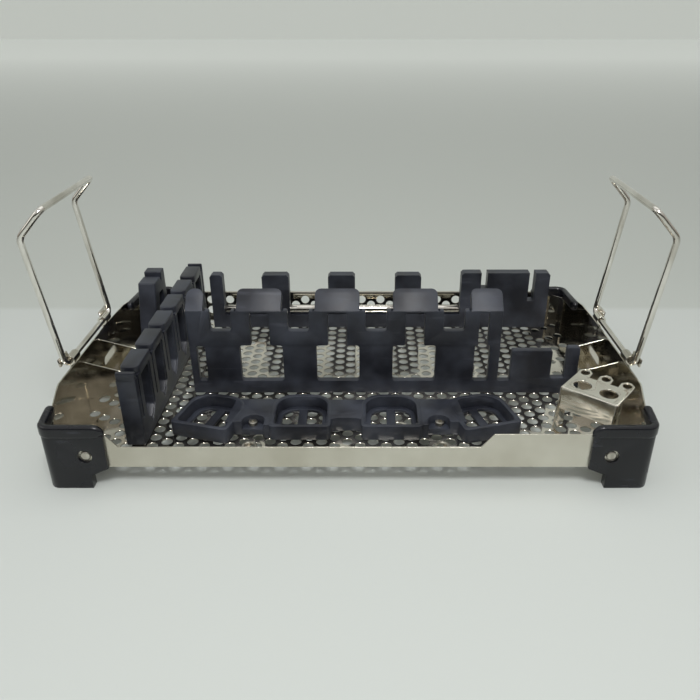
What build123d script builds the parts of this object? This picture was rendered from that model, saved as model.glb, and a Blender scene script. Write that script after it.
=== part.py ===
from build123d import *
import os

# Handpiece sterilization tray: a perforated steel tray with four plastic corner guards,
# two wire bail handles and plastic holders for the handpieces and their attachments.
# +X right, +Y back, +Z up, millimetres. The origin is on the table under the middle.

# Overall size, over the corner guards
tray_width = 494.0
tray_depth = 300.0

# Sheet steel body
sheet = 1.2
base_z = 20.6
corner_fold = 14.0
side_flare = 6.7
side_fold_start, side_fold_end = 30.0, 62.0
front_low_top = 38.7
front_high_top = 50.9
front_low_from, front_low_to = -184.0, 106.0
front_slope = 10.0
rear_top = 54.0
side_top = 64.0
side_end_top = 59.6
side_middle_from, side_middle_to = 56.0, 195.0
vent_length, vent_height, vent_z = 34.0, 9.0, 31.0

# Perforation: 3/8 inch holes on 1/2 inch staggered centres. The solid keeps one
# hole in nine, six-sided, on the same lattice. Small rounds have few sides throughout.
hole_dia = 9.5
hole_pitch = 12.7
column_step = 11.0
lattice_skip = 3
hole_margin = 12.0
hole_x, hole_y = 9.3, 31.6
rear_holes_z = 44.0

# Corner guards
guard_wall = 2.5
bead_proud = 1.2
bead_top = 59.5
wing_bead_low = 55.0
guard_corner = 9.0
guard_low = 12.5
guard_inset = 10.0
roof_inset = 3.0
front_leg, front_wing = 53.0, 30.0
rear_leg, rear_wing = 40.0, 58.0
foot_leg, foot_wing = 38.0, 24.0
guard_hole_dia = 11.4
guard_hole_inset, guard_hole_z = 36.0, 31.0
rivet_head_dia, rivet_head, rivet_edge = 8.4, 1.6, 0.8
rivet_shank_dia = 4.0
round_sides = 12
barrel_sides = 16

# Bail handles
wire_dia = 5.5
wire_sides = 8
pivot_out, pivot_z = 0.5, 69.7
handle_front, handle_back = 84.0, 201.0
lean_deg = 7.3
leg_length = 117.0
knee_length = 31.0
knee_deg = 50.0
wire_bend = 7.0
pivot_clear = 0.05
barrel_wall = 1.6
clip_length, clip_leaf, clip_inset = 14.0, 1.4, 9.0
leaf_low = 44.0
stop_height, stop_thick, stop_gap = 14.0, 1.5, 0.3
leaf_rivet_z = 52.0

# Gusset fins inside the side walls
gusset_front, gusset_rear = 110.0, 157.0
gusset_length, gusset_drop, gusset_top = 36.0, 10.5, 60.0
gusset_foot = 8.0

# Long rack along the left side
long_rack_inset, long_rack_thick = 67.0, 16.0
long_rack_front, long_rack_gap = 32.0, 8.0
long_rack_top = 90.0
pad_count = 6
pad_first, pad_last_end, pad_gap, pad_gap_depth = 42.5, 3.5, 6.0, 6.0
rack_window, window_low, window_high, window_point = 20.0, 40.0, 80.0, 9.0
rib_groove, rib_groove_depth, rib_groove_low = 3.0, 2.0, 48.0
frame_border, frame_recess = 2.5, 1.0

# Short rack at the rear left
short_rack_inset, short_rack_thick = 31.0, 18.0
short_foot, short_front, short_split, short_back = 204.0, 224.0, 248.0, 262.0
short_front_top, short_back_top, short_leg = 92.0, 96.0, 16.0
short_sill, short_head, short_nib, short_chamfer = 12.0, 16.0, 3.0, 6.0

# Front comb
comb_thick = 7.0
front_comb_y = 120.0
front_comb_left, front_comb_right = -150.0, 139.0
comb_top, comb_lean = 122.0, 16.0
slot_count = 4
slot_first, slot_pitch, slot_width = -119.0, 71.3, 19.5
slot_bottom = 88.7
shoulder = 5.5
key_wide, key_narrow = 40.0, 17.5
key_low, key_step = 34.0, 71.0
left_slit_x, left_slit, left_slit_top = -139.6, 8.0, 70.0
right_key_x, right_key_wide, right_key_narrow, right_key_step = 122.5, 14.0, 9.0, 80.0
wing_from, wing_to, wing_plate_top = 150.5, 188.6, 66.0
post_from, post_to, post_top, low_bar_to, low_bar_top = 202.0, 214.0, 69.0, 228.0, 37.0
comb_foot_depth, comb_foot_thick, comb_foot_width = 14.0, 5.0, 26.0
small_round, slot_ease = 2.5, 1.5

# Rear comb and the steel rod through its posts
rear_comb_y, rear_comb_thick = 269.0, 12.0
rear_comb_left, rear_comb_right = -160.0, 219.5
rear_bar_top, rear_post_top, rear_block_top = 36.0, 84.0, 86.5
rear_posts = [(-160.0, -146.0), (-102.0, -72.0), (-28.0, 2.0), (47.0, 76.0)]
rear_block_left, rear_gap = 121.0, 7.0
rear_gap_first, rear_gap_second = 143.0, 196.5
rear_gap_first_low, rear_gap_second_low = 68.0, 53.0
rod_dia, rod_z, rod_left, rod_right, rod_clear = 9.6, 41.0, -156.0, 134.0, 0.1

# Pocket block at the front
block_front, block_back, block_height = 41.0, 93.0, 14.0
pocket_count = 4
pocket_first, pocket_pitch = -125.0, 81.4
pocket_width, pocket_depth, pocket_wall, pocket_tilt = 42.0, 45.0, 3.5, 20.0
pocket_floor, pocket_bar, pocket_ledge = 3.0, 8.0, 5.0
pocket_corner = 4.0
web_front, web_back = 43.0, 84.0
notch_width, notch_depth, wide_notch, wide_notch_depth = 19.0, 19.0, 28.0, 15.0
notch_ledge, notch_ledge_depth = 6.0, 12.0

# Accessory bracket, front right, of bent sheet
bracket_inset, bracket_y, bracket_turn = 36.5, 57.5, -40.0
bracket_width, bracket_depth, bracket_top, bracket_sheet = 50.0, 31.0, 61.0, 1.5
tool_hole_dia, tool_hole_spacing, tool_hole_offset = 15.5, 23.5, -1.0
skirt_low = 40.0
bracket_leg_top, bracket_leg_foot, bracket_leg_lean = 12.0, 14.0, 8.0
ear_width, ear_length, ear_hole_dia, ear_corner = 12.0, 11.0, 8.0, 4.0
ear_rise = 35.0
ear_places = [-19.0, 0.0, 19.0]

# Fasteners
screw_head_dia, screw_head = 8.0, 3.0
screw_socket_dia, screw_socket_depth = 4.0, 1.6
ring_outer_dia, ring_inner_dia, ring_height = 13.0, 8.0, 2.2

steel_half_w = tray_width / 2 - guard_wall - bead_proud
steel_half_d = tray_depth / 2 - guard_wall - bead_proud
side_half = steel_half_w + side_flare
pivot_x = side_half + pivot_out
floor_z = base_z - sheet
half_depth = tray_depth / 2
front_y = -half_depth
comb_bend = comb_top - comb_lean
long_rack_back = tray_depth - long_rack_gap
pad_pitch = (long_rack_back - pad_last_end - pad_first) / pad_count
bracket_x = tray_width / 2 - bracket_inset
guard_hole_x = tray_width / 2 - guard_hole_inset
long_rack_x = long_rack_inset - tray_width / 2
short_rack_x = short_rack_inset - tray_width / 2

os.makedirs("parts", exist_ok=True)


def save(name, *solids):
    """Write one node, which may hold several separate solids."""
    shape = solids[0] if len(solids) == 1 else Compound(children=list(solids))
    export_step(shape, f"parts/{name}.step")


def from_front(distance):
    """Row Y of a place measured back from the front face."""
    return front_y + distance


def rect(x0, x1, y0, y1, radius=0.0):
    """A flat rectangle between two corners, rounded if asked."""
    width, height = x1 - x0, y1 - y0
    flat = RectangleRounded(width, height, radius) if radius else Rectangle(width, height)
    return Pos((x0 + x1) / 2, (y0 + y1) / 2) * flat


def polygon(*points):
    """A flat polygon through the points, placed where they say."""
    return make_face(Polyline(*points, close=True))


def block(x0, x1, y0, y1, z0, z1):
    return Pos((x0 + x1) / 2, (y0 + y1) / 2, (z0 + z1) / 2) * Box(x1 - x0, y1 - y0, z1 - z0)


def up(flat, z0, z1):
    """Raise a plan outline from z0 to z1."""
    return extrude(Pos(0, 0, z0) * flat, z1 - z0)


def back(flat, y0, y1):
    """Carry an X-Z outline from y0 back to y1."""
    return extrude(Plane.XZ.offset(-y1) * flat, y1 - y0)


def across(flat, x0, x1):
    """Carry a Y-Z outline from x0 across to x1."""
    return extrude(Plane.YZ.offset(x0) * flat, x1 - x0)


def corner_cut(x0, x1, y0, y1, cut):
    """A flat rectangle whose four corners are cut off."""
    flat = rect(x0, x1, y0, y1)
    return chamfer(flat.vertices(), cut)


def few_sided(diameter, sides, outside=False):
    """A round shape with few sides: inside its circle, or around it for a bore."""
    return RegularPolygon(diameter / 2, sides, major_radius=not outside)


def body_plan(inset=0.0):
    """Plan of the steel body: folded corners, and sides that widen between them."""
    end, side = steel_half_w, side_half
    start, full = half_depth - side_fold_start, half_depth - side_fold_end
    quarter = [(end - corner_fold, steel_half_d), (end, steel_half_d - corner_fold),
               (end, start), (side, full)]
    right = quarter + [(x, -y) for x, y in reversed(quarter)]
    left = [(-x, y) for x, y in reversed(right)]
    plan = polygon(*right, *left)
    return offset(plan, -inset, kind=Kind.INTERSECTION) if inset else plan


def hole_tool():
    return few_sided(hole_dia, 6)


def hole_columns(limit):
    """(X, whether the column is staggered) of the kept columns within a limit."""
    reach = int(limit / (column_step * lattice_skip)) + 1
    columns = [(hole_x + k * column_step * lattice_skip, k % 2) for k in range(-reach, reach + 1)]
    return [(x, odd) for x, odd in columns if abs(x) < limit]


def base_sheet():
    """The perforated floor of the tray."""
    row_step = hole_pitch * lattice_skip
    limit = steel_half_d - hole_margin
    holes = []
    for x, odd in hole_columns(steel_half_w - hole_margin):
        first = from_front(hole_y) + odd * row_step / 2
        for row in range(-1, int(tray_depth / row_step) + 1):
            y = first + row * row_step
            if abs(y) < limit:
                holes.append(Pos(x, y) * hole_tool())
    sheet_plate = up(body_plan(sheet), floor_z, base_z)
    return sheet_plate - extrude(Pos(0, 0, floor_z) * Sketch(children=holes), sheet)


def front_plate():
    """The bare front wall, lower along the middle than at its ends."""
    end = steel_half_w - corner_fold
    outline = polygon(
        (-end, floor_z), (end, floor_z), (end, front_high_top),
        (front_low_to + front_slope, front_high_top), (front_low_to, front_low_top),
        (front_low_from, front_low_top), (front_low_from - front_slope, front_high_top),
        (-end, front_high_top))
    return back(outline, -steel_half_d, -steel_half_d + sheet)


def rear_wall():
    """The rear wall, whose rows of holes carry on the floor's lattice."""
    end = steel_half_w - corner_fold
    middle = tray_width / 2 - rear_leg
    outline = rect(-end, end, floor_z, front_high_top) + rect(-middle, middle, floor_z, rear_top)
    for x, odd in hole_columns(middle - hole_margin):
        outline -= Pos(x, rear_holes_z - odd * hole_pitch / 2) * hole_tool()
    return back(outline, steel_half_d - sheet, steel_half_d)


def side_wall(side):
    """A side wall with a 45 degree fold at each end and a higher middle."""
    plan = body_plan() - body_plan(sheet)
    keep = rect(steel_half_w - corner_fold, side_half, -steel_half_d, steel_half_d)
    wall = up(plan & keep, floor_z, side_top)
    end, low = steel_half_d, steel_half_d - corner_fold - 2 * guard_wall
    rise, fall = from_front(side_middle_from), from_front(side_middle_to)
    profile = polygon(
        (-end, floor_z), (end, floor_z), (end, front_high_top), (low, front_high_top),
        (low - guard_wall, side_end_top), (fall, side_top), (rise, side_top),
        (-low + guard_wall, side_end_top), (-low, front_high_top), (-end, front_high_top))
    wall &= across(profile, 0, side_half)
    middle = from_front((gusset_front + gusset_rear) / 2)
    vent = Pos(middle, vent_z) * SlotOverall(vent_length, vent_height)
    wall -= across(vent, side_half - 2 * sheet, side_half + sheet)
    for y in clip_places():
        wall -= leaf_rivet_hole(y)
    return wall if side > 0 else mirror(wall, Plane.YZ)


def guard(side, end, leg, wing):
    """One corner guard: it wraps the corner, roofs the wall and is the tray's foot."""
    half_w, half_d = tray_width / 2, half_depth
    reach = side_half + 2 * guard_wall

    def corner(proud, along_front, along_side):
        edge = guard_wall + proud
        outer = rect(-steel_half_w - edge, steel_half_w + edge,
                     -steel_half_d - edge, steel_half_d + edge, guard_corner)
        outer += body_plan(-edge)
        legs = rect(half_w - along_front, reach, half_d - guard_corner, half_d + 1)
        legs += rect(half_w - guard_corner, reach, half_d - along_side, half_d + 1)
        legs += rect(half_w - corner_fold - guard_corner, reach,
                     half_d - corner_fold - guard_corner, half_d + 1)
        return outer & legs

    body = up(corner(0, leg, wing) - body_plan(), floor_z, front_high_top)
    body += up(corner(0, leg, wing) - body_plan(guard_inset), guard_low, floor_z)
    body += up(corner(0, foot_leg, foot_wing) - body_plan(guard_inset), 0, guard_low)
    bead = corner(bead_proud, leg, wing)
    leg_zone = rect(0, reach, steel_half_d - corner_fold, half_d + 1)
    wing_zone = rect(steel_half_w - corner_fold, reach, half_d - wing, steel_half_d - corner_fold)
    body += up((bead & leg_zone) - body_plan(roof_inset), front_high_top, bead_top)
    body += up((bead & wing_zone) - body_plan(), wing_bead_low, side_end_top + sheet)
    low_wing = corner(0, leg, wing) & wing_zone
    body += up(low_wing - body_plan(), front_high_top, wing_bead_low)
    body += up((bead & wing_zone) - body_plan(roof_inset), side_top, side_top + sheet)
    body += up((bead & wing_zone) - body_plan(), side_end_top + sheet, side_top)
    bore = Pos(guard_hole_x, guard_hole_z) * few_sided(guard_hole_dia, barrel_sides, True)
    body -= back(bore, steel_half_d, half_d + 1)
    if side < 0:
        body = mirror(body, Plane.YZ)
    return body if end > 0 else mirror(body, Plane.XZ)


def rivet(x, y, z, direction):
    """A rivet head with a bevelled edge on a face that looks along direction."""
    plane = Plane(origin=(x, y, z), z_dir=direction)
    head = extrude(plane * few_sided(rivet_head_dia, round_sides), rivet_head)
    top = head.edges().group_by(Axis(plane.origin, plane.z_dir))[-1]
    return chamfer(top, rivet_edge)


def guard_rivets():
    """The rivet seen through the hole of each guard, one a corner."""
    return [rivet(x * guard_hole_x, y * steel_half_d, guard_hole_z, (0, y, 0))
            for x in (-1, 1) for y in (-1, 1)]


def clip_places():
    """Row Y of the middle of each hinge clip."""
    inset = clip_inset + clip_length / 2
    return [from_front(handle_front) + inset, from_front(handle_back) - inset]


def leaf_rivet_hole(y):
    bore = Pos(y, leaf_rivet_z) * few_sided(rivet_shank_dia, round_sides)
    return across(bore, side_half - 2 * sheet, side_half + 3 * clip_leaf)


def hinge_clips(side):
    """Two sheet clips whose barrels carry the handle's pivot bar, each with a stop
    tongue that the leaning handle rests on."""
    radius = wire_dia / 2 + pivot_clear
    ends = [from_front(handle_front), from_front(handle_back)]
    clips = []
    for y, end in zip(clip_places(), ends):
        flat = rect(side_half, side_half + clip_leaf, leaf_low, pivot_z)
        flat += Pos(pivot_x, pivot_z) * few_sided(2 * (radius + barrel_wall), barrel_sides, True)
        clip = back(flat, y - clip_length / 2, y + clip_length / 2)
        low, high = sorted((end - (y - end) / abs(y - end) * wire_dia / 2, y))
        inner = wire_dia / 2 + stop_gap
        tongue = block(inner, inner + stop_thick, low, high, 0, stop_height)
        clip += Pos(pivot_x, 0, pivot_z) * (Rot(0, lean_deg, 0) * tongue)
        bore = Pos(pivot_x, pivot_z) * few_sided(2 * radius, barrel_sides, True)
        clip -= back(bore, -tray_depth, tray_depth)
        clip -= leaf_rivet_hole(y)
        clips.append(clip)
    return clips if side > 0 else [mirror(clip, Plane.YZ) for clip in clips]


def clip_rivets(side):
    """Rivets that hold the clips to the wall, heads outside, one a clip."""
    rivets = []
    for y in clip_places():
        head = rivet(side_half + clip_leaf, y, leaf_rivet_z, (1, 0, 0))
        shank = Pos(y, leaf_rivet_z) * few_sided(rivet_shank_dia, round_sides)
        head += across(shank, side_half - sheet, side_half + clip_leaf)
        rivets.append(head)
    return rivets if side > 0 else [mirror(head, Plane.YZ) for head in rivets]


def bail_handle(side):
    """A closed wire loop: pivot bar, two leaning legs, knees and the grip."""
    foot = Vector(pivot_x, 0, pivot_z)
    knee = foot + Vector(0, 0, leg_length).rotate(Axis.Y, lean_deg)
    grip = knee + Vector(0, 0, knee_length).rotate(Axis.Y, lean_deg - knee_deg)
    middle = from_front((handle_front + handle_back) / 2)
    end = Vector(0, (handle_back - handle_front) / 2, 0)
    path = FilletPolyline(foot, foot + end, knee + end, grip + end, grip, radius=wire_bend)
    section = few_sided(wire_dia, wire_sides)
    half = sweep(Plane(origin=foot, z_dir=(0, 1, 0)) * section, path)
    loop = Pos(0, middle, 0) * (half + mirror(half, Plane.XZ))
    return loop if side > 0 else mirror(loop, Plane.YZ)


def gusset(side, distance):
    """A thin fin from the side wall down to a short foot on the floor."""
    wall = side_half - sheet
    inner = wall - gusset_length
    outline = polygon((wall, base_z), (wall, gusset_top), (inner, gusset_top - gusset_drop),
                      (inner, base_z))
    y = from_front(distance)
    fin = back(outline, y - sheet / 2, y + sheet / 2)
    fin += block(inner, wall, y, y + gusset_foot, base_z, base_z + sheet)
    return fin if side > 0 else mirror(fin, Plane.YZ)


def long_rack():
    """A tall rack of six pads with a scooped gap between them and a window in each."""
    y0, y1 = from_front(long_rack_front), from_front(long_rack_back)
    outline = rect(y0, y1, base_z, long_rack_top)
    outline = fillet(outline.vertices().group_by(Axis.Y)[-1], small_round)
    right = long_rack_x + long_rack_thick / 2
    recesses = grooves = None
    for pad in range(pad_count + 1):
        start = from_front(pad_first + pad * pad_pitch)
        gap = rect(start - pad_gap, start, long_rack_top - pad_gap_depth, long_rack_top + 1)
        outline -= gap
        middle = start - pad_gap / 2
        groove = rect(middle - rib_groove / 2, middle + rib_groove / 2,
                      rib_groove_low, long_rack_top + 1)
        grooves = groove if grooves is None else grooves + groove
        if pad == pad_count:
            break
        centre = start + (pad_pitch - pad_gap) / 2
        outline -= chevron(centre, 0.0)
        recess = chevron(centre, frame_border)
        recesses = recess if recesses is None else recesses + recess
    rack = across(outline, right - long_rack_thick, right)
    rack -= across(recesses, right - frame_recess, right + 1)
    return rack - across(grooves, right - rib_groove_depth, right + 1)


def chevron(centre, border):
    """A tall window with a pointed lower end, grown by a border."""
    half = rack_window / 2 + border
    return polygon((centre - half, window_high + border), (centre - half, window_low),
                   (centre, window_low - window_point - border), (centre + half, window_low),
                   (centre + half, window_high + border))


def short_rack():
    """The A-shaped rack: a leaning front leg, an upright rear post, an open middle."""
    foot, front = from_front(short_foot), from_front(short_front)
    split, rear = from_front(short_split), from_front(short_back)
    outline = polygon((foot, base_z), (rear, base_z), (rear, short_back_top),
                      (split, short_back_top), (split, short_front_top - short_chamfer),
                      (split - short_nib, short_front_top), (front, short_front_top))
    lean = (front - foot) / (short_front_top - base_z)
    low, high = base_z + short_sill, short_front_top - short_head
    inner = foot + short_leg
    outline -= polygon((inner + lean * short_sill, low), (split, low), (split, high),
                       (inner + lean * (high - base_z), high))
    half = short_rack_thick / 2
    return across(outline, short_rack_x - half, short_rack_x + half)


def slot_centres():
    return [slot_first + slot_pitch * index for index in range(slot_count)]


def comb_feet():
    """X of each foot behind the front comb."""
    return [*slot_centres(), (wing_from + wing_to) / 2]


def upright_slot(centre, width, low, high):
    """An opening of the front comb in X-Z, its corners eased."""
    return corner_cut(centre - width / 2, centre + width / 2, low, high, slot_ease)


def front_comb():
    """The tall comb that the handpieces lie across. Its tops lean back."""
    outline = rect(front_comb_left, front_comb_right, base_z, comb_top + 1)
    for centre in slot_centres():
        half = slot_width / 2
        outline -= rect(centre - half, centre + half, slot_bottom, comb_top + 2)
        outline -= rect(centre - half - shoulder, centre + half + shoulder,
                        comb_bend, comb_top + 2)
    for left, right in zip(slot_centres(), slot_centres()[1:]):
        middle = (left + right) / 2
        outline -= upright_slot(middle, key_wide, key_low, key_step)
        outline -= upright_slot(middle, key_narrow, key_step - 2 * slot_ease, comb_bend)
    outline -= upright_slot(left_slit_x, left_slit, key_low, left_slit_top)
    outline -= upright_slot(right_key_x, right_key_wide, key_low, key_step)
    outline -= upright_slot(right_key_x, right_key_narrow, right_key_step, comb_bend)
    outline += rect(front_comb_right, wing_from, base_z, key_low)
    outline += rect(wing_from, wing_to, base_z, wing_plate_top)
    outline += rect(wing_to, low_bar_to, base_z, low_bar_top)
    outline += rect(post_from, post_to, base_z, post_top)
    y = from_front(front_comb_y)
    lean = comb_top - comb_bend
    side = polygon((y, base_z), (y + comb_thick, base_z), (y + comb_thick, comb_bend),
                   (y + comb_thick + lean, comb_top), (y + lean, comb_top), (y, comb_bend))
    comb = across(side, front_comb_left, low_bar_to) & back(outline, y, y + comb_thick + lean)
    for x in comb_feet():
        half = comb_foot_width / 2
        comb += block(x - half, x + half, y + comb_thick, y + comb_thick + comb_foot_depth,
                      base_z, base_z + comb_foot_thick)
    return comb


def rear_comb():
    """The lower comb at the back, with a bore for the steel rod in each post."""
    outline = rect(rear_comb_left, rear_comb_right, base_z, rear_bar_top)
    for left, right in rear_posts:
        outline += eased_post(left, right, rear_post_top)
    outline += eased_post(rear_block_left, rear_comb_right, rear_block_top)
    for left, low in ((rear_gap_first, rear_gap_first_low), (rear_gap_second, rear_gap_second_low)):
        outline -= rect(left, left + rear_gap, low, rear_block_top + 1)
    y = from_front(rear_comb_y)
    comb = back(outline, y, y + rear_comb_thick)
    bore = Pos(y + rear_comb_thick / 2, rod_z) * few_sided(rod_dia + 2 * rod_clear, barrel_sides)
    return comb - across(bore, rod_left, rod_right)


def eased_post(left, right, top):
    post = rect(left, right, base_z, top)
    return chamfer(post.vertices().group_by(Axis.Y)[-1], small_round)


def support_rod():
    """The bright rod that the handpieces' noses rest on."""
    y = from_front(rear_comb_y) + rear_comb_thick / 2
    return across(Pos(y, rod_z) * few_sided(rod_dia, barrel_sides), rod_left, rod_right)


def pocket_plan(grow):
    """A pocket seen from above: straight at the front and round at the back."""
    half, cut = pocket_width / 2 + grow, max(pocket_corner + grow / 2, small_round)
    straight = rect(-half, half, -pocket_depth / 2 - grow, 0)
    straight = chamfer(straight.vertices().group_by(Axis.Y)[0], cut)
    arch = Pos(0, pocket_depth / 2 + grow - half) * Circle(half)
    return straight + arch + rect(-half, half, -grow, pocket_depth / 2 + grow - half)


def pocket_places():
    """Each pocket's place: the outer two are turned outward."""
    middle = from_front((block_front + block_back) / 2)
    places = []
    for index in range(pocket_count):
        turn = pocket_tilt if index == 0 else -pocket_tilt if index == pocket_count - 1 else 0
        places.append(Pos(pocket_first + pocket_pitch * index, middle) * Rot(0, 0, turn))
    return places


def notch_centres():
    """X of the two narrow notches, which have a screw ledge."""
    first = pocket_first + pocket_pitch / 2
    return [first, first + 2 * pocket_pitch]


def pocket_block():
    """The low block with four D-shaped pockets for the handpieces' tails."""
    top, floor = base_z + block_height, base_z + pocket_floor
    last = pocket_first + pocket_pitch * (pocket_count - 1)
    plan = rect(pocket_first, last, from_front(web_front), from_front(web_back))
    for place in pocket_places():
        plan += place * pocket_plan(pocket_wall)
    front = from_front(web_front)
    wide = pocket_first + 1.5 * pocket_pitch
    plan -= u_notch(wide, wide_notch, front, wide_notch_depth)
    solid = up(plan, base_z, top)
    for x in notch_centres():
        notch = u_notch(x, notch_width, front, notch_depth)
        keep = rect(x - notch_width, x + notch_width, front + notch_depth - notch_ledge_depth, 0)
        solid -= up(notch, base_z + notch_ledge, top + 1)
        solid -= up(notch - keep, base_z - 1, top + 1)
    for place in pocket_places():
        solid -= up(place * pocket_plan(0), floor, top + 1)
        bar = rect(-pocket_bar / 2, pocket_bar / 2, -pocket_depth, pocket_depth)
        moon = place * (pocket_plan(-pocket_ledge) - bar)
        solid -= up(moon, base_z - 1, top + 1)
    return solid


def u_notch(x, width, front, depth):
    """A round-ended notch cut back from the front edge."""
    half = width / 2
    end = front + depth - half
    return rect(x - half, x + half, front - 2 * half, end) + Pos(x, end) * Circle(half)


def accessory_bracket():
    """A bent sheet stand: top plate with two holes, skirt, two legs and three ears."""
    half_w, half_d = bracket_width / 2, bracket_depth / 2
    t, top = bracket_sheet, bracket_top
    plate = rect(-half_w, half_w, -half_d, half_d)
    for side in (-1, 1):
        plate -= Pos(side * tool_hole_spacing / 2, tool_hole_offset) * Circle(tool_hole_dia / 2)
    solid = up(plate, top - t, top)
    solid += block(-half_w, half_w, -half_d, -half_d + t, skirt_low, top)
    leg = polygon((-half_d, top), (-half_d + bracket_leg_top, top),
                  (-half_d + bracket_leg_foot, base_z), (-half_d - bracket_leg_lean, base_z))
    solid += across(leg, -half_w, -half_w + t) + across(leg, half_w - t, half_w)
    for x in ear_places:
        ear = rect(-ear_width / 2, ear_width / 2, -t, ear_length)
        ear = chamfer(ear.vertices().group_by(Axis.Y)[-1], ear_corner)
        ear -= Pos(0, ear_length / 2) * few_sided(ear_hole_dia, round_sides)
        lifted = Rot(ear_rise, 0, 0) * extrude(ear, -t)
        solid += Pos(x, half_d, top) * lifted
    place = Pos(bracket_x, from_front(bracket_y)) * Rot(0, 0, bracket_turn)
    return place * solid


def screw(x, y, z):
    """A round screw head with a drive recess."""
    head = up(Pos(x, y) * few_sided(screw_head_dia, round_sides), z, z + screw_head)
    socket = Pos(x, y) * few_sided(screw_socket_dia, 6)
    return head - up(socket, z + screw_head - screw_socket_depth, z + screw_head + 1)


def comb_screws():
    """Screws through the feet of the front comb."""
    y = from_front(front_comb_y) + comb_thick + comb_foot_depth / 2
    return [screw(x, y, base_z + comb_foot_thick) for x in comb_feet()]


def block_screws():
    """Screws on the ledges in the pocket block's narrow notches."""
    y = from_front(web_front) + notch_depth - notch_ledge_depth / 2
    return [screw(x, y, base_z + notch_ledge) for x in notch_centres()]


def floor_rings():
    """Two raised eyelets on the floor in front of the narrow notches."""
    y = from_front(web_front) - ring_outer_dia
    ring = few_sided(ring_outer_dia, round_sides) - few_sided(ring_inner_dia, round_sides)
    return [up(Pos(x, y) * ring, base_z, base_z + ring_height) for x in notch_centres()]


save("base_sheet", base_sheet())
save("front_plate", front_plate())
save("rear_wall", rear_wall())
for side, word in ((-1, "left"), (1, "right")):
    save(f"side_wall_{word}", side_wall(side))
    save(f"guard_front_{word}", guard(side, -1, front_leg, front_wing))
    save(f"guard_rear_{word}", guard(side, 1, rear_leg, rear_wing))
    save(f"handle_{word}", bail_handle(side))
    save(f"hinge_clips_{word}", *hinge_clips(side))
    save(f"clip_rivets_{word}", *clip_rivets(side))
    save(f"gusset_front_{word}", gusset(side, gusset_front))
    save(f"gusset_rear_{word}", gusset(side, gusset_rear))
save("guard_rivets", *guard_rivets())
save("long_rack", long_rack())
save("short_rack", short_rack())
save("front_comb", front_comb())
save("rear_comb", rear_comb())
save("support_rod", support_rod())
save("pocket_block", pocket_block())
save("accessory_bracket", accessory_bracket())
save("comb_screws", *comb_screws())
save("block_screws", *block_screws())
save("floor_rings", *floor_rings())
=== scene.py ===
# %% [markdown]
# # Handpiece sterilization tray
# A full-size instrument tray: a perforated stainless floor with low folded walls, black plastic
# corner guards that are also its feet, two wire bail handles, and black plastic combs, racks and
# pockets that hold the handpieces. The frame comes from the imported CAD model. Every cell below
# gives one piece or one finish the look of the real one, and never moves a CAD part.

# %% Load the frame
import math

import bpy
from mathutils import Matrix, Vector


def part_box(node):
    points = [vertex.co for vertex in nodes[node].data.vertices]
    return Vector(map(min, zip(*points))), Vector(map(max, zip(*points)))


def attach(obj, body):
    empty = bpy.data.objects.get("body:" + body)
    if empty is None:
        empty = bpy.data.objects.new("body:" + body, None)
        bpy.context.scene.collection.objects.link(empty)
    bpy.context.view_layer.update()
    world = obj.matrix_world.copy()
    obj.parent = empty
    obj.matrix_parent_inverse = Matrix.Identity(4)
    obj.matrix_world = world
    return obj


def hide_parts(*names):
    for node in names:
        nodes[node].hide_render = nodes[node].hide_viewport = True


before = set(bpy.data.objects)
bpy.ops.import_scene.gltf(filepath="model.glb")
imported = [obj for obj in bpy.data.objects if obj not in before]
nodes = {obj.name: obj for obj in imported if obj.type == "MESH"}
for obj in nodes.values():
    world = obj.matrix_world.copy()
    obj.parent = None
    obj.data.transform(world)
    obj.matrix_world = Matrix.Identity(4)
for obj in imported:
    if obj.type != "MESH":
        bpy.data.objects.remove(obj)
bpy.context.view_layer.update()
bpy.ops.object.select_all(action="DESELECT")

# %% [markdown]
# ## Sizes
# The sizes are the ones the CAD source was drawn with, turned from millimetres to metres, so a
# piece made here seats in the frame.

# %% Sizes shared with the CAD source
MM = 0.001
SHEET = 1.2 * MM
STEEL_HALF_WIDTH, STEEL_HALF_DEPTH = 243.3 * MM, 146.3 * MM
CORNER_FOLD, SIDE_FLARE = 14.0 * MM, 6.7 * MM
SIDE_FOLD_START, SIDE_FOLD_END = 30.0 * MM, 62.0 * MM
HALF_DEPTH = 150.0 * MM
HOLE_DIAMETER, HOLE_PITCH, COLUMN_STEP = 9.5 * MM, 12.7 * MM, 11.0 * MM
HOLE_X, HOLE_Y = 9.3 * MM, -118.4 * MM
REAR_TOP, REAR_LOW_TOP = 54.0 * MM, 50.9 * MM
REAR_HIGH_HALF = 207.0 * MM
WIRE_RADIUS, WIRE_BEND, KNEE_TRIM = 2.75 * MM, 7.0 * MM, 4.5 * MM
PIVOT_X, PIVOT_Z = 250.5 * MM, 69.7 * MM
HANDLE_FRONT, HANDLE_BACK = -66.0 * MM, 51.0 * MM
LEG_LENGTH, KNEE_LENGTH = 117.0 * MM, 31.0 * MM
LEAN, KNEE = math.radians(7.3), math.radians(50.0)
floor_low, floor_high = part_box("base_sheet")
print("floor top at", round(floor_high.z / MM, 2), "mm")

# %% [markdown]
# ## Camera
# The photograph was taken by hand from in front and above. A lens and place fitted to the tray's
# known rows and to the tops of its guards put the object where the photograph has it.

# %% Camera
PHOTO_PIXELS, FOCAL_PIXELS, SENSOR = 700, 690, 36.0
CENTRE_COLUMN, TILT = 365, math.radians(63.07)

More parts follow.
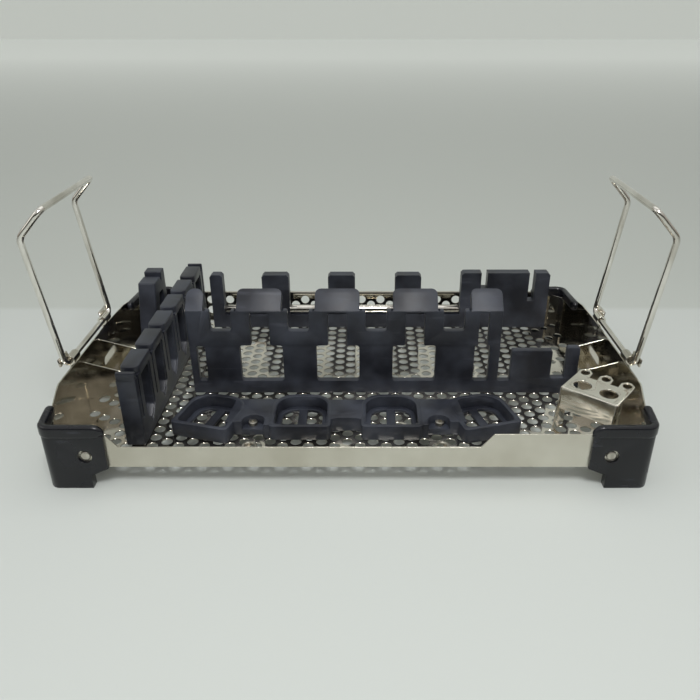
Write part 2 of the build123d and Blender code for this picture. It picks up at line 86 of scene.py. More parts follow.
camera_data = bpy.data.cameras.new("photo_camera")
camera_data.sensor_width = SENSOR
camera_data.lens = SENSOR * FOCAL_PIXELS / PHOTO_PIXELS
camera_data.shift_x = (PHOTO_PIXELS / 2 - CENTRE_COLUMN) / PHOTO_PIXELS
camera = bpy.data.objects.new("photo_camera", camera_data)
camera.location = (0.0133, -0.6021, 0.3573)
camera.rotation_euler = (TILT, 0, 0)
bpy.context.scene.collection.objects.link(camera)
bpy.context.scene.camera = camera
bpy.context.scene.view_settings.view_transform = "Standard"
print("lens", round(camera_data.lens, 2), "mm")

# %% [markdown]
# ## Helpers for materials
# Colours are chosen as they look on a screen, in sRGB hex, and shaders want linear light, so one
# function turns the one into the other. A second adds a node with its settings and links, which
# keeps each material short enough to read as a recipe.

# %% Colour and node helpers
def srgb(code):
    """The linear colour, with alpha, of an sRGB hex value."""
    channels = [int(code[start:start + 2], 16) / 255 for start in (1, 3, 5)]
    return [c / 12.92 if c <= 0.04045 else ((c + 0.055) / 1.055) ** 2.4 for c in channels] + [1.0]


def add(tree, kind, inputs=None, **settings):
    """Add a node, set its properties, and fill its inputs with values or link them to sockets."""
    node = tree.nodes.new(kind)
    for key, value in settings.items():
        setattr(node, key, value)
    for key, value in (inputs or {}).items():
        if isinstance(value, bpy.types.NodeSocket):
            tree.links.new(value, node.inputs[key])
        else:
            node.inputs[key].default_value = value
    return node


def new_material(name):
    """A material, its node tree, its shader and the Object coordinates of the piece."""
    material = bpy.data.materials.new(name)
    material.use_nodes = True
    tree = material.node_tree
    place = add(tree, "ShaderNodeTexCoord").outputs["Object"]
    return material, tree, tree.nodes["Principled BSDF"], place


def cloud(tree, place, size, detail=3.0, stretch=(1, 1, 1)):
    """Noise whose patches are about a given size in metres, as a socket from 0 to 1."""
    moved = add(tree, "ShaderNodeMapping", {"Vector": place, "Scale": stretch})
    noise = add(tree, "ShaderNodeTexNoise",
                {"Vector": moved.outputs["Vector"], "Scale": 1 / size, "Detail": detail})
    return noise.outputs["Fac"]


def spread(tree, value, low, high, start=0.35, end=0.65):
    """A noise value stretched to run from low to high."""
    node = add(tree, "ShaderNodeMapRange",
               {"Value": value, "From Min": start, "From Max": end, "To Min": low, "To Max": high})
    return node.outputs["Result"]


def blend_colours(tree, factor, first, second):
    """The colour between two others that a factor picks."""
    node = add(tree, "ShaderNodeMix", {0: factor, 6: first, 7: second}, data_type="RGBA")
    return node.outputs[2]


# %% [markdown]
# ## Polished stainless sheet
# The tray is stainless sheet, electropolished after it is punched and folded. It is close to a
# mirror but a little wavy, and slightly warm where it reflects a room. A metal's colour is its
# reflection, so the base is a pale warm grey, with broad cloudy changes in colour and roughness
# and a shallow swell from rolling. The front plate is brushed, so it is rougher and nearly flat,
# and the bracket lies between the two.

# %% Materials: stainless sheet in three finishes
def polished_sheet(name, dark, light, rough_low, rough_high, swell):
    """Sheet steel with cloudy colour and roughness over a shallow swell."""
    material, tree, shader, place = new_material(name)
    patches = cloud(tree, place, 70 * MM)
    fine = cloud(tree, place, 6 * MM, detail=5.0)
    tone = blend_colours(tree, spread(tree, patches, 0, 1), srgb(dark), srgb(light))
    tree.links.new(tone, shader.inputs["Base Color"])
    tree.links.new(spread(tree, fine, rough_low, rough_high), shader.inputs["Roughness"])
    shader.inputs["Metallic"].default_value = 1.0
    waves = cloud(tree, place, 28 * MM, detail=1.0)
    bump = add(tree, "ShaderNodeBump", {"Height": waves, "Distance": swell, "Strength": 1.0})
    tree.links.new(bump.outputs["Normal"], shader.inputs["Normal"])
    return material


sheet_steel = polished_sheet("electropolished_stainless_sheet", "#b3aea2", "#e3ded3",
                             0.05, 0.13, 0.30 * MM)
plate_steel = polished_sheet("brushed_stainless_plate", "#c6c1b3", "#dbd7cb",
                             0.28, 0.38, 0.05 * MM)
bracket_steel = polished_sheet("polished_stainless_bracket", "#cfcabd", "#ebe7dc",
                               0.10, 0.20, 0.10 * MM)
print("sheet finishes:", sheet_steel.name, plate_steel.name, bracket_steel.name)

# %% [markdown]
# ## Polished wire and satin fasteners
# Drawn wire is buffed to a chrome-like shine, so its colour is paler and its roughness lower than
# the sheet's. Rivets, screws and eyelets are small cold-headed parts with a satin skin.

# %% Material: buffed wire and satin fasteners
def buffed_metal(name, dark, light, rough_low, rough_high, grain):
    """Metal whose fine streaks change its colour and roughness together."""
    material, tree, shader, place = new_material(name)
    streaks = cloud(tree, place, grain, detail=4.0, stretch=(1, 0.2, 0.2))
    tone = blend_colours(tree, spread(tree, streaks, 0, 1), srgb(dark), srgb(light))
    tree.links.new(tone, shader.inputs["Base Color"])
    tree.links.new(spread(tree, streaks, rough_low, rough_high), shader.inputs["Roughness"])
    shader.inputs["Metallic"].default_value = 1.0
    return material


wire_steel = buffed_metal("buffed_stainless_wire", "#c2bdb3", "#e9e6df", 0.03, 0.08, 9 * MM)
fastener_steel = buffed_metal("satin_stainless_fastener", "#a8a499", "#cbc7bc", 0.28, 0.40, 3 * MM)
print("wire and fastener finishes made")

# %% [markdown]
# ## Black acetal
# The combs, racks and pockets are milled from black acetal sheet, and the guards are moulded from
# it. Steam has left the faces slightly cloudy, with bluish-grey mottling a few centimetres wide,
# and milled faces are matter than moulded ones. Scuffs show as faint lighter streaks. The milled
# faces are a dark blue-grey, and the moulded guards are blacker and glossier.

# %% Material: milled and moulded black acetal
def acetal(name, dark, light, rough_low, rough_high, grit):
    """Satin plastic with broad mottling, faint scuffs and a fine grit."""
    material, tree, shader, place = new_material(name)
    mottle = cloud(tree, place, 32 * MM, detail=5.0)
    speck = cloud(tree, place, 2.2 * MM, detail=3.0)
    scuff = cloud(tree, place, 14 * MM, detail=6.0, stretch=(0.25, 1, 1.6))
    base = blend_colours(tree, spread(tree, mottle, 0, 1, 0.38, 0.68), srgb(dark), srgb(light))
    worn = blend_colours(tree, spread(tree, scuff, 0, 0.5, 0.6, 0.8), base, srgb("#5a5d68"))
    tree.links.new(worn, shader.inputs["Base Color"])
    tree.links.new(spread(tree, mottle, rough_low, rough_high), shader.inputs["Roughness"])
    shader.inputs["IOR"].default_value = 1.48
    bump = add(tree, "ShaderNodeBump", {"Height": speck, "Distance": grit, "Strength": 0.6})
    tree.links.new(bump.outputs["Normal"], shader.inputs["Normal"])
    return material


milled_acetal = acetal("milled_black_acetal", "#1f2128", "#3a3e48", 0.34, 0.48, 0.05 * MM)
moulded_acetal = acetal("moulded_black_acetal", "#0c0d12", "#17181e", 0.22, 0.32, 0.03 * MM)
print("plastics:", milled_acetal.name, "and", moulded_acetal.name)

# %% [markdown]
# ## Table, wall and light
# The tray stands on a plain pale table with a pale wall behind. A big plane is the table and
# changes colour where the table ends, and a second one stands far behind it, which also gives
# the steel something pale to mirror. A lamp in front and above throws the short shadow under the
# front plate, a wide glow from the ceiling and a window on the left keep the rest soft, and the
# world is darker low down behind the camera, so that bright wire gets its dark line.

# %% Table and wall
TABLE_EDGE, EDGE_BLUR, PLANE_SIZE = 220 * MM, 6 * MM, 16
FAR_GLOW, GLOW_START, GLOW_FULL = 0.34, 0.35, 4.5


def seen_glow(tree, amount):
    """A glow that only the camera and mirrors see, so it lights nothing."""
    rays = add(tree, "ShaderNodeLightPath")
    seen = add(tree, "ShaderNodeMath",
               {0: rays.outputs["Is Camera Ray"], 1: rays.outputs["Is Glossy Ray"]},
               operation="MAXIMUM")
    glow = add(tree, "ShaderNodeMath", {0: seen.outputs["Value"], 1: amount}, operation="MULTIPLY")
    return glow.outputs["Value"]


def backdrop(name, finish, roughness, place=(0, 0, 0), tilt=0):
    """A big plane with a pale glowing finish, and the tree, shader and coordinates of it."""
    bpy.ops.object.select_all(action="DESELECT")
    bpy.ops.mesh.primitive_plane_add(size=PLANE_SIZE, location=place,
                                     rotation=(math.radians(tilt), 0, 0))
    plane = bpy.context.object
    plane.name = name
    material, tree, shader, coordinates = new_material(finish)
    shader.inputs["Roughness"].default_value = roughness
    shader.inputs["Emission Color"].default_value = srgb("#f6faf5")
    plane.data.materials.append(material)
    return plane, tree, shader, coordinates


table, tree, shader, place = backdrop("table", "pale_table_and_wall", 0.75)
across = add(tree, "ShaderNodeSeparateXYZ", {"Vector": place}).outputs["Y"]
edge = spread(tree, across, 0, 1, TABLE_EDGE - EDGE_BLUR, TABLE_EDGE + EDGE_BLUR)
table_colour = blend_colours(tree, edge, srgb("#cacfcb"), srgb("#c0c5bf"))
tree.links.new(table_colour, shader.inputs["Base Color"])
table_glow = seen_glow(tree, spread(tree, across, 0, FAR_GLOW, GLOW_START, GLOW_FULL))
tree.links.new(table_glow, shader.inputs["Emission Strength"])

wall, tree, shader, place = backdrop("far_wall", "pale_far_wall", 0.8, (0, 7, 6), 90)
shader.inputs["Base Color"].default_value = srgb("#d3d8d1")
tree.links.new(seen_glow(tree, FAR_GLOW), shader.inputs["Emission Strength"])
print("table edge at", TABLE_EDGE, "m and a far wall")

# %% Light
WORLD_STRENGTH, DARK_SLANT = 0.66, 1.3

world = bpy.data.worlds.new("room")
world.use_nodes = True
bpy.context.scene.world = world
tree = world.node_tree
direction = add(tree, "ShaderNodeTexCoord").outputs["Generated"]
parts = add(tree, "ShaderNodeSeparateXYZ", {"Vector": direction})
height = spread(tree, parts.outputs["Z"], 0, 1, 0.0, 0.6)
sky = blend_colours(tree, height, srgb("#b4aea2"), srgb("#fafaf8"))
raised = add(tree, "ShaderNodeMath",
             {0: parts.outputs["Z"], 1: DARK_SLANT, 2: parts.outputs["Y"]},
             operation="MULTIPLY_ADD")
nearer = spread(tree, raised.outputs["Value"], 0, 1, -0.7, 0.1)
room = blend_colours(tree, nearer, srgb("#2c2823"), sky)
tree.links.new(room, tree.nodes["Background"].inputs["Color"])
tree.nodes["Background"].inputs["Strength"].default_value = WORLD_STRENGTH


def lamp(name, place, size, watts, target=(0, 0, 0.03)):
    """A soft rectangular lamp that looks at the tray."""
    data = bpy.data.lights.new(name, "AREA")
    data.shape = "RECTANGLE"
    data.size, data.size_y = size
    data.energy = watts
    made = bpy.data.objects.new(name, data)
    made.location = place
    made.rotation_euler = (Vector(place) - Vector(target)).to_track_quat("Z", "Y").to_euler()
    bpy.context.scene.collection.objects.link(made)


lamp("key_above_camera", (0.1, -0.82, 1.26), (0.35, 0.35), 10.5)
lamp("ceiling_glow", (0.1, 0.35, 1.5), (1.6, 1.0), 2.5)
lamp("window_left", (-1.5, -0.3, 0.9), (0.9, 0.9), 1.8)
print("three soft lamps and a plain world")

# %% [markdown]
# ## Taking a CAD part as a starting shape
# Flat-sided parts such as combs and guards already have the right outline in CAD. What they lack
# is a real edge: milled plastic and folded sheet never end in a razor. So each is copied, its
# loose triangles are welded into whole faces, and a bevel rounds the edges. The copy replaces the
# CAD node, which MuJoCo keeps for contact.

# %% Copy, weld and round a CAD part
def choose(piece):
    """Select one object and make it active."""
    bpy.ops.object.select_all(action="DESELECT")
    piece.select_set(True)
    bpy.context.view_layer.objects.active = piece


def edit_all(piece):
    """Make one piece active and open it in edit mode with everything selected."""
    choose(piece)
    bpy.ops.object.mode_set(mode="EDIT")
    bpy.ops.mesh.select_all(action="SELECT")


def apply_modifier(piece, kind, **settings):
    """Add a modifier, set it and apply it."""
    choose(piece)
    modifier = piece.modifiers.new(kind.lower(), kind)
    for key, value in settings.items():
        setattr(modifier, key, value)
    bpy.ops.object.modifier_apply(modifier=modifier.name)


def soften(piece, width, segments, degrees=35, **settings):
    """Round every edge of a piece that is sharper than an angle."""
    apply_modifier(piece, "BEVEL", width=width, segments=segments, limit_method="ANGLE",
                   angle_limit=math.radians(degrees), **settings)


def welded_copy(node, name):
    """A copy of a CAD node's mesh with whole faces in place of loose triangles."""
    piece = bpy.data.objects.new(name, nodes[node].data.copy())
    bpy.context.scene.collection.objects.link(piece)
    edit_all(piece)
    bpy.ops.mesh.remove_doubles(threshold=0.002 * MM)
    bpy.ops.mesh.dissolve_limited(angle_limit=math.radians(1.5))
    bpy.ops.object.mode_set(mode="OBJECT")
    return piece


def seat(piece, material, slot, body, *replaced):
    """Give a finished piece its material, its body and the CAD nodes it stands for; the slot is not used.
    """
    piece.data.materials.clear()
    piece.data.materials.append(material)
    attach(piece, body)
    if replaced:
        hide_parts(*replaced)
    return piece


def smooth(piece, degrees=40):
    """Shade a piece smooth across its shallow edges."""
    choose(piece)
    bpy.ops.object.shade_smooth_by_angle(angle=math.radians(degrees))


def cut_above(piece, height):
    """Cut a piece off flat at a height and close the cut."""
    edit_all(piece)
    bpy.ops.mesh.bisect(plane_co=(0, 0, height), plane_no=(0, 0, 1), clear_outer=True,
                        use_fill=True)
    bpy.ops.object.mode_set(mode="OBJECT")


ROUND_MITRE = {"miter_outer": "MITER_ARC", "use_clamp_overlap": True}


def dressed(node, radius, material, slot, steps=2):
    """A CAD part with rounded edges, in its finish, in the place of its node."""
    piece = welded_copy(node, node + "_dressed")
    soften(piece, radius, steps, **ROUND_MITRE)
    smooth(piece)
    apply_modifier(piece, "WEIGHTED_NORMAL", keep_sharp=True)
    return seat(piece, material, slot, "tray", node)


# %% [markdown]
# ## Slabs with rounded edges
# A comb, a rack and a pocket block are slabs of plastic, cut to an outline and pierced. Drawing
# the outline and its openings as one flat curve gives all of it at once: the curve fills like a
# sheet with holes, extrudes to the slab's thickness, and its round bevel breaks every edge. Each
# corner of an outline carries its own radius, which bevelling the corner point makes.

# %% Draw a slab
def point_loop(points):
    """A closed loop of straight edges through the points."""
    bpy.ops.object.select_all(action="DESELECT")
    bpy.ops.mesh.primitive_circle_add(vertices=len(points), radius=1, fill_type="NOTHING")
    drawn = bpy.context.object
    for vertex, point in zip(drawn.data.vertices, points):
        vertex.co = point
    return drawn


def round_points(drawn, wanted, radius):
    """Bevel the points of a loop that lie at the wanted places."""
    bpy.ops.object.mode_set(mode="EDIT")
    bpy.ops.mesh.select_mode(type="VERT")
    bpy.ops.mesh.select_all(action="DESELECT")
    bpy.ops.object.mode_set(mode="OBJECT")
    for vertex in drawn.data.vertices:
        vertex.select = any((vertex.co - spot).length < 0.01 * MM for spot in wanted)
    bpy.ops.object.mode_set(mode="EDIT")
    bpy.ops.mesh.bevel(offset=radius, offset_type="OFFSET", segments=6, affect="VERTICES")
    bpy.ops.object.mode_set(mode="OBJECT")


def ring(corners):
    """A closed curve through (x, y, radius) corners, each rounded by its radius."""
    drawn = point_loop([(x, y, 0) for x, y, radius in corners])
    for radius in sorted({corner[2] for corner in corners if corner[2]}):
        round_points(drawn, [Vector((x, y, 0)) for x, y, own in corners if own == radius], radius)
    bpy.ops.object.convert(target="CURVE")
    return bpy.context.object


def scaled(corners):
    """Corners given in millimetres, in metres."""
    return [tuple(value * MM for value in corner) for corner in corners]


def join_all(pieces, name):
    """Join objects into the first and name it."""
    bpy.ops.object.select_all(action="DESELECT")
    for piece in pieces:
        piece.select_set(True)
    bpy.context.view_layer.objects.active = pieces[0]
    if len(pieces) > 1:
        bpy.ops.object.join()
    bpy.context.object.name = name
    return bpy.context.object


FLAT, FACING_FRONT, FACING_SIDE = (0, 0, 0), (90, 0, 0), (90, 0, 90)


def slab(name, outline, holes, start, end, edge, facing=FLAT):
    """A pierced slab from start to end along its thickness, with round edges; sizes in mm."""
    drawn = join_all([ring(scaled(corners)) for corners in [outline, *holes]], name)
    drawn.data.dimensions = "2D"
    drawn.data.fill_mode = "BOTH"
    drawn.data.extrude = ((end - start) / 2 - edge) * MM
    drawn.data.bevel_depth = edge * MM
    drawn.data.bevel_resolution = 1
    drawn.data.offset = -edge * MM
    bpy.ops.object.convert(target="MESH")
    solid = bpy.context.object
    edit_all(solid)
    bpy.ops.mesh.remove_doubles(threshold=0.005 * MM)
    bpy.ops.mesh.normals_make_consistent(inside=False)
    bpy.ops.object.mode_set(mode="OBJECT")
    middle = (start + end) / 2 * MM
    solid.rotation_euler = [math.radians(angle) for angle in facing]
    solid.location = {FLAT: (0, 0, middle), FACING_FRONT: (0, middle, 0),
                      FACING_SIDE: (middle, 0, 0)}[facing]
    bpy.ops.object.transform_apply(location=True, rotation=True, scale=False)
    return solid


def box_corners(x0, x1, y0, y1, radius=0.0):
    """The four corners of a rectangle, with one radius."""
    return [(x0, y0, radius), (x1, y0, radius), (x1, y1, radius), (x0, y1, radius)]


def carve(piece, cutters):
    """Cut the joined cutters out of a piece."""
    cutter = join_all(cutters, "cutter")
    apply_modifier(piece, "BOOLEAN", operation="DIFFERENCE", object=cutter, solver="EXACT")
    bpy.data.objects.remove(cutter)
    return piece


BASE, FRONT = floor_high.z / MM, -HALF_DEPTH / MM
print("floor at", round(BASE, 2), "mm and front at", round(FRONT, 1), "mm")

# %% [markdown]
# ## The long rack
# A tall slab stands along the left side. Six pads rise from it, rounded at their front ends, with
# a narrow gap between neighbours that runs on down the face as a groove. Each pad has a tall
# window, pointed below, in a shallow frame.

# %% Make the long rack
RACK_X, RACK_TOP, RACK_BODY_TOP = (-188.0, -172.0), 90.0, 84.0
RACK_START, RACK_END = FRONT + 32.0, FRONT + 292.0
PAD_START, PAD_PITCH, PAD_GAP, PAD_COUNT = FRONT + 42.5, 41.0, 6.0, 6
WINDOW_HALF, WINDOW_TOP, WINDOW_LOW, WINDOW_POINT = 10.0, 80.0, 40.0, 9
FRAME_BORDER, FRAME_DEPTH, GROOVE_DEPTH, GROOVE_LOW = 2.5, 1.0, 2.2, 44
GROOVE_FROM, GROOVE_TO, CUT_PAST = 4.5, 1.5, 2
PAD_NOSE, PAD_CORNER, PAD_EDGE, PAD_INSET = 5.5, 1.4, 1.1, 0.1


def chevron(centre, border, radius):
    """A tall window with a pointed lower end, grown by a border."""
    half, high, low = WINDOW_HALF + border, WINDOW_TOP + border, WINDOW_LOW
    return [(centre - half, high, radius), (centre - half, low, radius),
            (centre, low - WINDOW_POINT - border, radius), (centre + half, low, radius),
            (centre + half, high, radius)]


pad_starts = [PAD_START + index * PAD_PITCH for index in range(PAD_COUNT + 1)]
middles = [start + (PAD_PITCH - PAD_GAP) / 2 for start in pad_starts[:-1]]
rack = slab("long_rack_milled", box_corners(RACK_START, RACK_END, BASE, RACK_BODY_TOP, 1.5),
            [chevron(middle, 0, 1.5) for middle in middles], *RACK_X, 1.0, FACING_SIDE)
frames = [slab("frame_cutter", chevron(middle, FRAME_BORDER, 2.0), [],
               RACK_X[1] - FRAME_DEPTH, RACK_X[1] + CUT_PAST, 0.3, FACING_SIDE)
          for middle in middles]
grooves = [slab("groove_cutter",
                box_corners(start - GROOVE_FROM, start - GROOVE_TO, GROOVE_LOW, RACK_TOP, 1.2),
                [], RACK_X[1] - GROOVE_DEPTH, RACK_X[1] + CUT_PAST, 0.3, FACING_SIDE)
           for start in pad_starts]
carve(rack, frames + grooves)
end_pads = [(RACK_START, pad_starts[0] - PAD_GAP, 1.6), (pad_starts[-1], RACK_END, PAD_CORNER)]
pads = [(start, start + PAD_PITCH - PAD_GAP, PAD_NOSE) for start in pad_starts[:-1]]
inside, outside = RACK_X[0] + PAD_INSET, RACK_X[1] - PAD_INSET
caps = [slab("pad", [(inside, start, nose), (outside, start, nose), (outside, end, PAD_CORNER),
                     (inside, end, PAD_CORNER)], [], RACK_BODY_TOP - 3, RACK_TOP, PAD_EDGE)
        for start, end, nose in end_pads + pads]
rack = join_all([rack, *caps], "long_rack_milled")
smooth(rack)
seat(rack, milled_acetal, "black_plastic", "tray", "long_rack")
print("long rack", len(rack.data.polygons), "faces")

# %% [markdown]
# ## The pocket block
# A low block with four pockets for the handpieces' tails. Each pocket has a straight front, a
# round back and a floor with two openings either side of a bar. The outer two are turned a little,
# so that their round backs lean toward the middle. The webs between them stand a hair lower than
# the pockets and have notches: two narrow ones with a screw on a ledge and a wide one.

# %% Make the pocket block
BLOCK_TOP, POCKET_FLOOR, POCKET_TURN = BASE + 14.0, BASE + 3.0, 15.5
POCKETS = [(-122.0, -POCKET_TURN), (-42.5, 0.0), (36.5, 0.0), (116.0, POCKET_TURN)]
POCKET_HALF, POCKET_FRONT, POCKET_BACK, POCKET_WALL = 22.3, -23.0, 22.5, 4.2
POCKET_ROW, WEB_TOP, NOTCHES = FRONT + 67.2, BLOCK_TOP - 0.15, [(-83.0, 9.6), (77.0, 9.2)]


def pocket_outline(grow, front_radius, back_radius):
    """A pocket's plan about its middle, grown outward."""
    half, front, back = POCKET_HALF + grow, POCKET_FRONT - grow, POCKET_BACK + grow
    return [(-half, front, front_radius), (half, front, front_radius), (half, back, back_radius),
            (-half, back, back_radius)]


def moon(side):
    """One of the two openings in a pocket's floor."""
    bar, half = side * 4.0, side * (POCKET_HALF - 4.5)
    return [(bar, POCKET_FRONT + 4, 1.0), (half, POCKET_FRONT + 4, 2.5), (half, POCKET_BACK - 5, 12.0),
            (bar, POCKET_BACK - 5, 1.0)]


block_parts = []
for x, turn in POCKETS:
    wall = slab("pocket_wall", pocket_outline(POCKET_WALL, 4.0, 19.0), [pocket_outline(0, 4.5, 16.0)],
                BASE, BLOCK_TOP, 0.8)
    floor_plate = slab("pocket_floor", pocket_outline(1.5, 4.0, 17.0), [moon(-1), moon(1)],
                       BASE + 0.1, POCKET_FLOOR, 0.4)
    pocket = join_all([wall, floor_plate], "pocket")
    pocket.rotation_euler.z = math.radians(turn)
    pocket.location = (x * MM, POCKET_ROW * MM, 0)
    bpy.ops.object.transform_apply(location=True, rotation=True, scale=False)
    block_parts.append(pocket)
for x, half in NOTCHES:
    out = math.copysign(1, x)
    near, far = FRONT + 43.0, FRONT + 86.0
    inner, outer = x - out * 18.2, x + out * 20.0
    corners = [(outer + out * 4, near + 5, 1.0), (x + out * half, near + 5, 1.0),
               (x + out * half, near + 16, 9.0), (x - out * half, near + 16, 9.0),
               (x - out * half, near, 1.0), (inner, near, 1.0), (inner, far, 1.0),
               (outer, far, 1.0)]
    block_parts.append(slab("web", corners, [], BASE, WEB_TOP, 0.8))
    ledge = box_corners(x - half - 1, x + half + 1, near + 5, near + 18, 0.5)
    block_parts.append(slab("screw_ledge", ledge, [], BASE + 0.1, BASE + 6, 0.4))
near = FRONT + 42.0
middle_web = [(-19.6, near, 1.0), (-17.0, near + 6, 2.0), (-16.5, near + 12, 8.0), (10.5, near + 12, 8.0),
              (11.0, near + 6, 2.0), (13.6, near, 1.0), (13.6, FRONT + 85, 1.0), (-19.6, FRONT + 85, 1.0)]
block_parts.append(slab("web", middle_web, [], BASE, WEB_TOP, 0.8))
pocket_block = join_all(block_parts, "pocket_block_milled")
smooth(pocket_block)
seat(pocket_block, milled_acetal, "black_plastic", "tray", "pocket_block")
print("pocket block", len(pocket_block.data.polygons), "faces")

# %% [markdown]
# ## The front comb
# The handpieces lie in its four slots. It is drawn flat with its tabs straight up, cut across at
# the bend, and the tabs are then turned back 45 degrees, so their ends stay square to them.

# %% Make the front comb
COMB_FRONT, COMB_BACK, COMB_BEND, TAB_TOP = FRONT + 120.0, FRONT + 127.0, 106.0, 128.6
SLOTS, SLOT_HALF, TAB_SHOULDER, SLOT_BOTTOM = [-119.0, -47.7, 23.6, 94.9], 9.75, 15.25, 86.0

COMB_LEFT, COMB_RIGHT, COMB_FULL_TO = -150, 228, 139
TAB_CORNER, END_TAB_CORNER, TAB_TURN = 5.5, 7.4, math.radians(45)
BAR_TOP, WING_TOP = 37, 34
PLATE_FROM, PLATE_TO, PLATE_TOP, POST_FROM, POST_TO, POST_TOP = 150.5, 188.6, 66, 202, 214, 69
KEY_LOW, KEY_STEP, KEY_TOP = 34, 71, 104

comb_outline = [(COMB_LEFT, BASE, 1), (COMB_RIGHT, BASE, 1), (COMB_RIGHT, BAR_TOP, 1.5),
                (POST_TO, BAR_TOP, 1.5), (POST_TO, POST_TOP, 2.5), (POST_FROM, POST_TOP, 2.5),
                (POST_FROM, BAR_TOP, 1.5), (PLATE_TO, BAR_TOP, 1.5), (PLATE_TO, PLATE_TOP, 2.5),
                (PLATE_FROM, PLATE_TOP, 2.5), (PLATE_FROM, WING_TOP, 1.5),
                (COMB_FULL_TO, WING_TOP, 1.5), (COMB_FULL_TO, TAB_TOP, TAB_CORNER)]
for centre in reversed(SLOTS):
    shoulders = centre - TAB_SHOULDER, centre + TAB_SHOULDER
    sides = centre - SLOT_HALF, centre + SLOT_HALF
    comb_outline += [(shoulders[1], TAB_TOP, TAB_CORNER), (shoulders[1], COMB_BEND, 2.0),
                     (sides[1], COMB_BEND, 1.5), (sides[1], SLOT_BOTTOM, 3.0),
                     (sides[0], SLOT_BOTTOM, 3.0), (sides[0], COMB_BEND, 1.5),
                     (shoulders[0], COMB_BEND, 2.0), (shoulders[0], TAB_TOP, TAB_CORNER)]
comb_outline[-1] = (SLOTS[0] - TAB_SHOULDER, TAB_TOP, END_TAB_CORNER)
comb_outline.append((COMB_LEFT, TAB_TOP, END_TAB_CORNER))


def keyhole(centre, wide, narrow):
    """A tall opening that is wide below and narrow above."""
    return [(centre - wide, KEY_LOW, 2.5), (centre + wide, KEY_LOW, 2.5),
            (centre + wide, KEY_STEP, 2.5), (centre + narrow, KEY_STEP, 1.5),
            (centre + narrow, KEY_TOP, 2.5), (centre - narrow, KEY_TOP, 2.5),
            (centre - narrow, KEY_STEP, 1.5), (centre - wide, KEY_STEP, 2.5)]


openings = [keyhole((before + after) / 2, 20.0, 8.75) for before, after in zip(SLOTS, SLOTS[1:])]
openings += [keyhole(122.5, 7.0, 4.5), box_corners(-143.6, -135.6, KEY_LOW, 70, 2.0)]
comb = slab("front_comb_milled", comb_outline, openings, COMB_FRONT, COMB_BACK, 0.7,
            FACING_FRONT)
edit_all(comb)
bpy.ops.mesh.bisect(plane_co=(0, 0, COMB_BEND * MM), plane_no=(0, 0, 1))
bpy.ops.object.mode_set(mode="OBJECT")
for vertex in comb.data.vertices:
    rise = vertex.co.z - COMB_BEND * MM
    if rise > 0.01 * MM:
        back = vertex.co.y - COMB_FRONT * MM
        vertex.co.y = COMB_FRONT * MM + back * math.cos(TAB_TURN) + rise * math.sin(TAB_TURN)
        vertex.co.z = COMB_BEND * MM + rise * math.cos(TAB_TURN) - back * math.sin(TAB_TURN)
FOOT_HALF, FOOT_REACH, FOOT_THICK, PLATE_FOOT = 13, 14, 5, 169.55
feet = [slab("comb_foot", box_corners(x - FOOT_HALF, x + FOOT_HALF, COMB_BACK - 1,
                                      COMB_BACK + FOOT_REACH, 2.0), [], BASE, BASE + FOOT_THICK, 0.6)
        for x in [*SLOTS, PLATE_FOOT]]
comb = join_all([comb, *feet], "front_comb_milled")
smooth(comb)
seat(comb, milled_acetal, "black_plastic", "tray", "front_comb")
print("front comb", len(comb.data.polygons), "faces")

# %% [markdown]
# ## Rear comb and short rack
# These two have the right outline in CAD, so copies get broken edges.

# %% Dress the rear comb and the short rack
for node, radius in (("rear_comb", 1.2), ("short_rack", 1.6)):
    piece = dressed(node, radius * MM, milled_acetal, "black_plastic")
    print(piece.name, len(piece.data.polygons), "faces")

# %% [markdown]
# ## Corner guards
# Each guard is moulded with a thick rolled bead along its top, which runs round the corner of the
# tray and rises a little along the side. The CAD copy is cut off below the bead, its lower inner
# corner is raised to the slant that runs down to the foot, and the bead is swept along a path: a
# round-cornered section on a bent line, whose end points are small so that the ends are round.

# %% Make the guards
BEAD_LOW, BEAD_HALF_HEIGHT, BEAD_HALF_WIDTH, BEAD_END = 47.9, 5.8, 3.3, 8.0
BODY_CUT, CORNER_RAISE, BEAD_BEND = 50.5, 6.5, 8.0


def bead_path(leg, wing):
    """(x, y, z, size) along the bead of the right front guard, in mm from the corner outward."""
    side, front = STEEL_HALF_WIDTH / MM + 0.35, STEEL_HALF_DEPTH / MM + 0.35
    inner = 247.0 - leg
    path = []
    for step in range(7):
        size = math.sqrt(1 - (1 - step / 6) ** 2) if step else 0.12
        path.append((inner + BEAD_END * step / 6, -front, BEAD_LOW + BEAD_HALF_HEIGHT * size, size))
    level, bend = BEAD_LOW + BEAD_HALF_HEIGHT, BEAD_BEND
    for step in range(9):
        angle = math.radians(90 * step / 8)
        path.append((side - bend + bend * math.sin(angle),
                     -front + bend - bend * math.cos(angle), level, 1.0))
    last = 150.0 - wing
    path.append((side, -(front + last) / 2 + 2, level + 1.8, 1.0))
    for step in range(5):
        size = math.sqrt(1 - (step / 4) ** 2) if step < 4 else 0.2
        path.append((side, -last - 4 + step, level + 3.4 * size, size))
    return path


